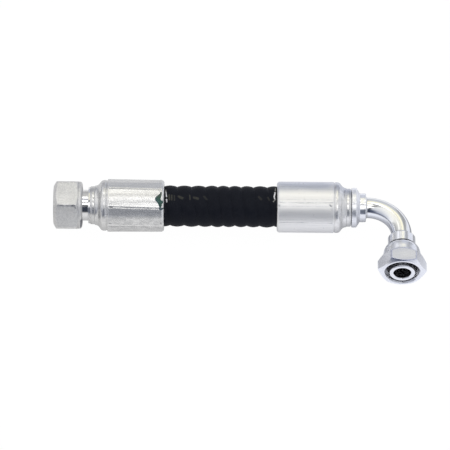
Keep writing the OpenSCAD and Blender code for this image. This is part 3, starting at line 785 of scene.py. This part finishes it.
# ------------------------------------------------------------- elbow tube
def elbow():
    bend, x0, x_in, d_out = 21.5, OUT_X - 21.5, NECK_R + 3.42, 28.18
    path = []
    for x in np.arange(x_in, x0, 0.55):
        path.append((x, AXIS_Y, 0.0))
    n = 60
    for i in range(n + 1):
        w = math.pi / 2 * i / n
        path.append((x0 + bend * math.sin(w), AXIS_Y - bend + bend * math.cos(w), w))
    for d in np.arange(bend + 0.5, d_out, 0.55):
        path.append((OUT_X, AXIS_Y - d, math.pi / 2))
    path.append((OUT_X, AXIS_Y - d_out, math.pi / 2))
    p = np.array(path)
    m = 192
    a = angles(m)
    s = np.concatenate([[0], np.cumsum(np.hypot(*np.diff(p[:, :2], axis=0).T))])
    bent = np.sin(np.clip(p[:, 2], 0, math.pi / 2) * 2) ** 0.6
    bent = np.nan_to_num(bent)
    rows = []
    for base, sign in ((6.5, 1), (4.75, -1)):
        # radial direction: cos(a) points to the outside of the bend, sin(a) up
        ca, sa = np.cos(a)[None, :], np.sin(a)[None, :]
        flat = 1 - 0.030 * bent[:, None] * (0.5 + 0.5 * ca) * np.abs(ca) + 0.012 * bent[:, None] * sa ** 2
        rr = base * flat
        if sign > 0:
            rr = rr + 0.010 * wander(s[:, None] / 5.0, a[None, :] * 8 / TAU, 51, 8)
            rr = rr + 0.035 * bent[:, None] * bump(turned(a[None, :], math.pi), 0.7) * np.sin(s[:, None] * 1.15) * 0.12
        w = p[:, 2][:, None]
        ox, oy = np.sin(w), np.cos(w)
        x = p[:, 0][:, None] + rr * ca * ox
        y = p[:, 1][:, None] + rr * ca * oy
        z = AXIS_Z + rr * sa + 0 * x
        g = np.stack([x, y, z], -1)
        rows.append(g if sign > 0 else g[::-1])
    co = np.concatenate(rows) * MM
    return piece(ring("elbow_tube_bent", co), HOSE, "bright_zinc", POLISHED, "elbow_tube")


elbow()


def fillet_ring(name, place, z0, d, reach, rise, seed, node):
    """A run of braze metal drawn up round the tube."""
    t = np.linspace(0, 1, 9)
    curve = [(z0 + d * reach * q, 6.52 + rise * (1 - q) ** 2.1) for q in t]
    pts = [(z0 - d * 0.0, 6.52)] + curve
    loop = np.array(pts)
    m = 192
    a = angles(m)
    z = np.repeat(loop[:, :1], m, 1)
    r = np.repeat(loop[:, 1:], m, 1)
    aa = a[None, :] + 0 * z
    lift = np.clip((r - 6.52) / rise, 0, 1)
    r = r + lift * 0.05 * wander(aa * 11 / TAU, 0 * aa, seed)
    z = z + d * 0.18 * (1 - lift) * (np.abs(z - z0) > 0.1) * wander(aa * 9 / TAU, 0 * aa + 2, seed)
    return piece(ring(name, place(z, aa, r)), HOSE, "bright_zinc", BRAZE, node)


fillet_ring("braze_fillet_inlet", on_right, -9.41, -1, 0.85, 0.75, 61, "braze_ring_inlet")
fillet_ring("braze_fillet_outlet", on_outlet, D_TAIL - 0.01, -1, 0.6, 0.45, 62, "braze_ring_outlet")


# ---------------------------------------------------------------- O-rings
def o_ring(name, place, z, floor_r, node):
    t = angles(40)
    flash = 0.03 * (bump(turned(t, 0.0), 0.10) + bump(turned(t, math.pi), 0.10))
    rad = 0.75 + flash
    loop = np.stack([z + rad * np.sin(t), floor_r + 0.02 + 0.75 + rad * np.cos(t)], -1)
    return turned_part(name, place, loop, 192, HOSE, "seal_rubber", SEAL, node, seed=71, wobble=0.004)


o_ring("o_ring_straight_end", on_left, U_NOSE + 5, 8.9 + 5 * CONE - 1.16, "o_ring_left")
o_ring("o_ring_elbow_end", on_outlet, D_NOSE - 5, 7.95 + 5 * CONE - 1.16, "o_ring_right")


# ------------------------------------------------------------------- nuts
def nut(name, place, af, turn_deg, outside, inside, thread, body, slot, material, node, m=600, seed=80, grime=None,
        corner=0.35, rough=0.0, sgn=1, thread_shade=0.0, round_hex=0.22):
    """Hexagon cut by the turned outside, with rounded edges and a real internal thread."""
    turn = math.radians(turn_deg)
    loop = np.concatenate([outside, inside])
    n_out = len(outside)
    a = angles(m)
    z = np.repeat(loop[:, :1], m, 1)
    r = np.repeat(loop[:, 1:], m, 1)
    aa = a[None, :] + 0 * z
    # across flats, with a corner at the turn angle
    f = turned(aa[:n_out] * 6, turn * 6) / 6
    hexr = af / 2 / np.cos(math.pi / 6 - np.abs(f))
    apex = af / 2 / math.cos(math.pi / 6)
    hexr = smin(hexr, np.full_like(hexr, apex - 0.10), corner)
    body_r = smin(hexr, r[:n_out], round_hex)
    if rough:
        on_face = smooth((body_r - 11.8) / 1.0)
        body_r = body_r + on_face * (rough * wander(z[:n_out] / 0.8, aa[:n_out] * 130 / TAU, seed, 130)
                                     + rough * 1.5 * wander(z[:n_out] / 3.5, aa[:n_out] * 26 / TAU, seed + 1, 26))
    r[:n_out] = body_r
    # thread: 60 degree grooves of 1.5 mm pitch, cut into the wall from the crest radius
    crest, z0, z1 = thread
    zi, ai, ri = z[n_out:], aa[n_out:], r[n_out:]
    ph = (zi / 1.5 - sgn * ai / TAU) % 1.0
    tooth = np.clip((np.abs(ph - 0.5) * 2 - 0.16) / 0.68, 0, 1)
    groove = 0.81 * (1 - tooth)
    fade = smooth((zi - z0) / 0.5) * smooth((z1 - zi) / 0.5)
    is_wall = np.abs(ri - crest) < 0.02
    cut = crest + groove * fade
    r[n_out:] = np.where(is_wall, cut, np.where((ri > crest) & (zi > z0) & (zi < z1), np.maximum(ri, cut), ri))
    shade_and_soil = 0 * z
    if grime is not None:
        shade_and_soil[:n_out] = grime(z[:n_out], aa[:n_out], f)
    # painted shade inside the thread, darker deeper in from the mouth, with the tooth crests left lighter
    mouth = outside[:, 0].max() if thread_shade > 0.9 else outside[:, 0].min()
    shade_and_soil[n_out:] = np.clip(1.5 * thread_shade * smooth((np.abs(zi - mouth) - 0.45) / 1.0), 0, 1) * (1 - 0.85 * is_wall * smooth((tooth - 0.62) / 0.25))
    return piece(ring(name, place(z, aa, r), grime=shade_and_soil), body, slot, material, node)


def run(points, steps):
    """Straight runs through points, each cut into its own number of steps."""
    out = []
    for (a, b), k in zip(zip(points[:-1], points[1:]), steps):
        out += [(a[0] + (b[0] - a[0]) * i / k, a[1] + (b[1] - a[1]) * i / k) for i in range(k)]
    out.append(points[-1])
    return np.array(out, float)


# straight end: M24 x 1.5, 30 mm across flats
RL = 15 / math.cos(math.pi / 6)
out_l = run([(U_FRONT, 11.65), (U_FRONT, 11.75), (U_FRONT + 0.12, 12.2), (U_FRONT + 0.5, 12.95), (U_FRONT + 1.0, 13.8), (U_FRONT + 1.6, 14.85),
             (U_FRONT + 2.2, 15.9), (U_FRONT + 3.15, RL + 0.25), (U_BACK - 3.9, RL + 0.25), (U_BACK - 3.1, 16.0), (U_BACK - 2.5, 15.05),
             (U_BACK - 1.15, 14.95), (U_BACK - 0.85, 14.75), (U_BACK - 0.5, 14.3), (U_BACK - 0.15, 13.4), (U_BACK, 12.2), (U_BACK, 11.5)],
            [1, 2, 4, 6, 8, 9, 18, 32, 10, 8, 8, 3, 3, 3, 4, 2])


def nut_painted_shade(z, a, f):
    """Painted dark reflection along the facing corner's edge, and painted shade where the collar meets the hexagon."""
    off = turned(a, math.radians(217.3)) * 17.0 + 0.14 * wander(z / 1.6, 0 * z, 401) + 0.06 * wander(z / 0.5, 0 * z, 402)
    along = smooth((z + 20.6) / 0.8) * (1 - smooth((z + 9.2) / 0.8))
    broken = np.clip(0.60 + 0.75 * wander(z / 1.7, 0 * z, 403), 0.12, 1)
    line = bump(off, 0.38) * along * broken
    fork = bump(off - 0.75 * np.clip(z + 10.8, 0, 3), 0.34) * smooth((z + 11.0) / 0.5) * (1 - smooth((z + 8.6) / 0.6))
    turn = turned(a, math.radians(217.3)) * 17.0
    # painted shade, thickest on the face below the corner, and a painted patch of shade low on the collar
    film = 0.16 * smooth((turn + 0.2) / 0.8) * np.exp(-np.clip(turn, 0, 99) / 7.0) + 0.10 * smooth((-turn - 5.0) / 6.0)
    patch = smooth((z + 6.3) / 0.4) * smooth((np.degrees(turned(a, math.radians(252.0)))) / 8.0) * (1 - smooth((np.degrees(turned(a, math.radians(288.0)))) / 10.0))
    return np.clip(1.2 * line + 0.9 * fork + 0.26 * bump(z - (U_BACK - 2.45), 0.34) + film + 0.75 * patch, 0, 1)


in_l = np.concatenate([
    outline([(U_BACK, 11.3), (U_BACK, 10.05, 0.1), (U_BACK - 0.2, 9.83, 0.1), (U_BACK - 3.75, 9.83, 0.1),
             (U_BACK - 5.32, 11.4, 0.1), (U_BACK - 5.42, 11.5, 0.1), (U_BACK - 6.9, 11.5, 0.1), (U_BACK - 7.15, 11.188, 0.0)],
            0.5, 0.1, 3, closed=False),
    np.stack([np.arange(U_BACK - 7.25, U_FRONT + 1.17, -0.1), np.full(len(np.arange(U_BACK - 7.25, U_FRONT + 1.17, -0.1)), 11.188)], -1),
    run([(U_FRONT + 1.15, 11.188 + 0.03), (U_FRONT + 0.25, 11.5), (U_FRONT, 11.6)], [10, 2])])
nut("swivel_nut_straight_end", on_left, 30.0, 36.5, out_l, in_l, (11.188, U_FRONT - 1, U_BACK - 7.2),
    "straight_end_nut", "cast_zinc", NUT_L, "swivel_nut_left", m=354, seed=81, grime=nut_painted_shade, corner=0.7, rough=0.014,
    thread_shade=0.5, round_hex=0.45)

# elbow end: M22 x 1.5, 27 mm across flats, with the rear skirt closed in as a dome
RR = 13.5 / math.cos(math.pi / 6)
dome = [(D_BACK + 6 * (1 - math.cos(math.radians(v))), 9.3 + 2.5 * math.sin(math.radians(v))) for v in range(0, 91, 4)]
out_r = np.concatenate([
    run([(D_BACK, 9.12), (D_BACK, 9.26)], [3]),
    np.array(dome[1:]),
    run([(D_BACK + 6.3, 11.82), (D_BACK + 7.5, 11.95), (D_BACK + 8.3, 12.75), (D_BACK + 11.2, RR + 0.25), (D_FRONT - 2.25, RR + 0.25), (D_FRONT - 0.1, 12.75),
         (D_FRONT, 12.6), (D_FRONT, 11.7)], [6, 8, 24, 22, 20, 3, 8])])
in_r = np.concatenate([
    run([(D_FRONT, 11.5), (D_FRONT - 0.06, 11.4), (D_FRONT - 1.25, 10.23)], [2, 14]),
    np.stack([np.arange(D_FRONT - 1.35, D_BACK + 7.92, -0.1), np.full(len(np.arange(D_FRONT - 1.35, D_BACK + 7.92, -0.1)), 10.188)], -1),
    outline([(D_BACK + 7.9, 10.188, 0.0), (D_BACK + 7.7, 10.6, 0.1), (D_BACK + 6.3, 10.6, 0.1), (D_BACK + 6.2, 10.43, 0.1),
             (D_BACK + 4.5, 8.73, 0.1), (D_BACK + 0.35, 8.73, 0.1), (D_BACK, 9.05)], 0.5, 0.1, 3, closed=False)])
nut("swivel_nut_elbow_end", on_outlet, 27.0, -3.0, out_r, in_r, (10.188, D_BACK + 7.85, D_FRONT + 1), "elbow_end_nut",
    "bright_zinc", NUT_R, "swivel_nut_right", m=354, seed=84, corner=0.30, rough=0.003, thread_shade=1.0)


# ---------------------------------------------------------- carried nodes
for node_name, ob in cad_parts.items():
    if ob.hide_render:
        continue
    ob.data.materials.clear()
    if node_name.startswith("wire_spiral"):
        ob.data.materials.append(bpy.data.materials.get("wire_spiral_steel") or wire_material())
    else:
        ob.data.materials.append(TUBE_RUBBER)
    ob.data.polygons.foreach_set("use_smooth", np.zeros(len(ob.data.polygons), bool))

# ------------------------------------------------------------------ floor
def floor():
    n = 24
    g = np.linspace(-3.0, 3.0, n + 1)
    co = np.array([(x, y, 0.0) for y in g for x in g])
    faces = [(j * (n + 1) + i, j * (n + 1) + i + 1, (j + 1) * (n + 1) + i + 1, (j + 1) * (n + 1) + i)
             for j in range(n) for i in range(n)]
    ob = mesh_from("studio_floor", co, faces)
    mat = bpy.data.materials.new("studio_floor_white")
    mat.use_nodes = True
    nt = mat.node_tree
    nt.nodes.clear()
    out = nt.nodes.new("ShaderNodeOutputMaterial")

    def lit(albedo, colour, strength):
        d = nt.nodes.new("ShaderNodeBsdfDiffuse")
        d.inputs["Color"].default_value = (*albedo, 1)
        e = nt.nodes.new("ShaderNodeEmission")
        e.inputs["Strength"].default_value = strength
        if isinstance(colour, tuple):
            e.inputs["Color"].default_value = (*colour, 1)
        else:
            nt.links.new(colour, e.inputs["Color"])
        add = nt.nodes.new("ShaderNodeAddShader")
        nt.links.new(d.outputs[0], add.inputs[0])
        nt.links.new(e.outputs[0], add.inputs[1])
        return add.outputs[0]

    # the floor glows: an even white to the camera, and to all other rays a glow tinted from neutral on the left to
    # lavender on the right
    sep = nt.nodes.new("ShaderNodeSeparateXYZ")
    nt.links.new(coords(nt), sep.inputs[0])
    across = remap(nt, sep.outputs["X"], 0, 1, -0.05, 0.05)
    tint = mix_colour(nt, across, (0.60, 0.60, 0.605), (0.70, 0.715, 0.78))
    # the soft shade under and behind the part
    open_sky = remap(nt, maths(nt, "ABSOLUTE", maths(nt, "SUBTRACT", sep.outputs["Y"], 0.024)), 0, 1.0, 0.008, 0.045)
    deepest = remap(nt, sep.outputs["X"], 0.60, 0.22, 0.0, 0.045)
    under = maths(nt, "ADD", deepest, maths(nt, "MULTIPLY", maths(nt, "SUBTRACT", 1.0, deepest), open_sky))
    away = remap(nt, sep.outputs["Y"], 0.42, 1.0, -0.21, -0.10)
    away = maths(nt, "MAXIMUM", away, remap(nt, sep.outputs["X"], 0.0, 1.0, 0.0, 0.05))
    under = maths(nt, "MULTIPLY", under, away)
    tint = mix_colour(nt, 1.0, tint, mix_colour(nt, under, (0.0, 0.0, 0.0), (1.0, 1.0, 1.0)), "MULTIPLY")
    path = nt.nodes.new("ShaderNodeLightPath")
    mix = nt.nodes.new("ShaderNodeMixShader")
    nt.links.new(path.outputs["Is Camera Ray"], mix.inputs[0])
    nt.links.new(lit((0.25, 0.25, 0.25), tint, 1.0), mix.inputs[1])
    nt.links.new(lit((0.03, 0.03, 0.03), (0.985, 0.985, 0.985), 1.0), mix.inputs[2])
    nt.links.new(mix.outputs[0], out.inputs[0])
    ob.data.materials.append(mat)


floor()


# ------------------------------------------------------------------ light
def studio():
    world = bpy.data.worlds.new("studio")
    bpy.context.scene.world = world
    world.use_nodes = True
    nt = world.node_tree
    nt.nodes.clear()
    out = nt.nodes.new("ShaderNodeOutputWorld")
    bg = nt.nodes.new("ShaderNodeBackground")
    plain = nt.nodes.new("ShaderNodeBackground")
    plain.inputs["Color"].default_value = (1, 1, 1, 1)
    plain.inputs["Strength"].default_value = 1.05
    path = nt.nodes.new("ShaderNodeLightPath")
    mix = nt.nodes.new("ShaderNodeMixShader")
    tc = nt.nodes.new("ShaderNodeTexCoord")
    sep = nt.nodes.new("ShaderNodeSeparateXYZ")
    nt.links.new(tc.outputs["Generated"], sep.inputs[0])
    front = maths(nt, "MULTIPLY", sep.outputs["Y"], -1.0)
    ang = maths(nt, "ARCTAN2", sep.outputs["Z"], front)
    deg = remap(nt, ang, 0.0, 1.0, 0.0, math.pi)

    def sky(stops):
        return ramp(nt, deg, [(e / 180.0, c) for e, c in stops])

    left = sky([(0, grey(0.22)), (3, grey(0.06)), (6, (0.030, 0.036, 0.050)), (51, (0.030, 0.036, 0.050)), (56, grey(0.08)),
                (58.5, grey(2.3)), (67, grey(2.3)), (70, grey(0.30)), (77, grey(0.30)), (79.5, grey(3.5)), (91, grey(3.5)),
                (94.5, (0.10, 0.12, 0.20)), (101, (0.10, 0.12, 0.20)), (105, grey(0.5)), (108, grey(2.6)), (117, grey(2.6)),
                (121, grey(0.44)), (128, grey(0.52)), (145, grey(0.54)), (165, grey(0.45)), (180, grey(0.42))])
    right = sky([(0, (0.50, 0.54, 0.62)), (4, (0.16, 0.20, 0.30)), (8, (0.06, 0.08, 0.13)), (29, (0.07, 0.09, 0.14)), (38, (0.16, 0.19, 0.25)),
                 (42.5, grey(1.0)), (50, grey(1.85)), (71.5, grey(1.80)), (74.5, grey(0.26)), (85, grey(0.26)), (89, (1.25, 1.22, 1.12)),
                 (96, (1.26, 1.215, 1.03)), (112, (1.14, 1.11, 0.95)), (130, (1.12, 1.09, 0.95)), (137, (0.60, 0.61, 0.66)), (150, (0.58, 0.61, 0.70)), (180, (0.54, 0.57, 0.66))])
    far_left = sky([(0, (0.10, 0.12, 0.18)), (9, (0.15, 0.17, 0.24)), (22, (0.46, 0.48, 0.55)), (50, (0.72, 0.735, 0.78)), (80, (0.92, 0.93, 0.96)),
                    (105, (1.0, 1.0, 1.0)), (135, (0.68, 0.69, 0.72)), (165, (0.42, 0.43, 0.47)), (180, (0.28, 0.29, 0.34))])
    far_right = sky([(0, (0.60, 0.63, 0.71)), (40, (0.58, 0.60, 0.65)), (80, (0.76, 0.77, 0.81)), (110, (0.80, 0.81, 0.84)),
                     (135, (0.60, 0.62, 0.67)), (180, (0.56, 0.58, 0.65))])
    turn_x = remap(nt, sep.outputs["X"], 0.0, 1.0, -1.0, 1.0)

    def share(stops):
        return ramp(nt, turn_x, [((x + 1) / 2, grey(v)) for x, v in stops])

    colour = mix_colour(nt, share([(-0.3, 0), (0.3, 1)]), far_left, far_right)
    colour = mix_colour(nt, share([(-0.22, 0), (-0.10, 1), (-0.008, 1), (0.008, 0)]), colour, left)
    colour = mix_colour(nt, share([(-0.008, 0), (0.008, 1), (0.13, 1), (0.26, 0)]), colour, right)
    # panels that stand side by side behind the part
    strips = share([(-1.0, 0.42), (-0.8, 0.48), (-0.62, 0.58), (-0.54, 0.60), (-0.49, 0.92), (-0.34, 0.92), (-0.28, 0.56), (-0.2, 0.62), (-0.1, 0.66), (0.36, 0.66),
                    (0.40, 0.40), (0.60, 0.42), (0.69, 0.90), (0.80, 0.90), (0.86, 0.64), (1.0, 0.62)])
    strips = mix_colour(nt, 1.0, strips, (1.55, 1.55, 1.55), "MULTIPLY")
    behind = remap(nt, deg, 0.0, 1.0, 112 / 180.0, 122 / 180.0)
    colour = mix_colour(nt, 1.0, colour, mix_colour(nt, behind, (1.0, 1.0, 1.0), strips), "MULTIPLY")
    # a warm panel overhead and behind, wider than it is deep
    band = ramp(nt, deg, [(0.0, (0, 0, 0)), (110 / 180.0, (0, 0, 0)), (116 / 180.0, (1, 1, 1)), (135 / 180.0, (1, 1, 1)), (142 / 180.0, (0, 0, 0))])
    warm = share([(-0.012, 0), (-0.002, 1), (0.26, 1), (0.32, 0)])
    cool = share([(-0.20, 0), (-0.15, 1), (-0.062, 1), (-0.050, 0)])
    colour = mix_colour(nt, mix_colour(nt, 1.0, band, warm, "MULTIPLY"), colour, (1.08, 1.055, 0.90))
    colour = mix_colour(nt, mix_colour(nt, 1.0, band, cool, "MULTIPLY"), colour, (1.00, 0.99, 0.94))
    # the dark of the room in front, wider than the panels
    room = ramp(nt, deg, [(4 / 180.0, (0, 0, 0)), (9 / 180.0, (1, 1, 1)), (27 / 180.0, (1, 1, 1)), (41 / 180.0, (0, 0, 0))])
    across = share([(-0.55, 0), (-0.28, 0.92), (-0.09, 0.92), (-0.06, 0)])
    colour = mix_colour(nt, mix_colour(nt, 1.0, room, across, "MULTIPLY"), colour, (0.05, 0.065, 0.11))
    # the edge between two panels overhead
    edge = ramp(nt, deg, [(74 / 180.0, (0, 0, 0)), (78 / 180.0, (1, 1, 1)), (91 / 180.0, (1, 1, 1)), (95 / 180.0, (0, 0, 0))])
    across = share([(-0.25, 0), (-0.19, 0.95), (-0.088, 0.95), (-0.066, 0)])
    colour = mix_colour(nt, mix_colour(nt, 1.0, edge, across, "MULTIPLY"), colour, (0.02, 0.02, 0.035))
    nt.links.new(colour, bg.inputs["Color"])
    bg.inputs["Strength"].default_value = 1.0
    nt.links.new(path.outputs["Is Camera Ray"], mix.inputs[0])
    nt.links.new(bg.outputs[0], mix.inputs[1])
    nt.links.new(plain.outputs[0], mix.inputs[2])
    nt.links.new(mix.outputs[0], out.inputs[0])


studio()

# ----------------------------------------------------------------- camera
AZIMUTH, ELEVATION, DISTANCE, LENS, ROLL = 0.0, 54.0, 2.8, 353.04, -0.55
TARGET = Vector((-0.0092, 0.0073, 0.0096))
cam_data = bpy.data.cameras.new("camera")
cam = bpy.data.objects.new("camera", cam_data)
bpy.context.scene.collection.objects.link(cam)
bpy.context.scene.camera = cam
cam_data.lens = LENS
cam_data.sensor_width = 36.0
cam_data.clip_start, cam_data.clip_end = 0.05, 20
az, el = math.radians(AZIMUTH), math.radians(ELEVATION)
back = Vector((math.sin(az) * math.cos(el), -math.cos(az) * math.cos(el), math.sin(el)))
cam.location = TARGET + back * DISTANCE
cam.rotation_mode = "QUATERNION"
cam.rotation_quaternion = (-back).to_track_quat("-Z", "Y")
cam.rotation_quaternion.rotate(Quaternion(-back, math.radians(ROLL)))

bpy.context.scene.view_settings.view_transform = "Standard"
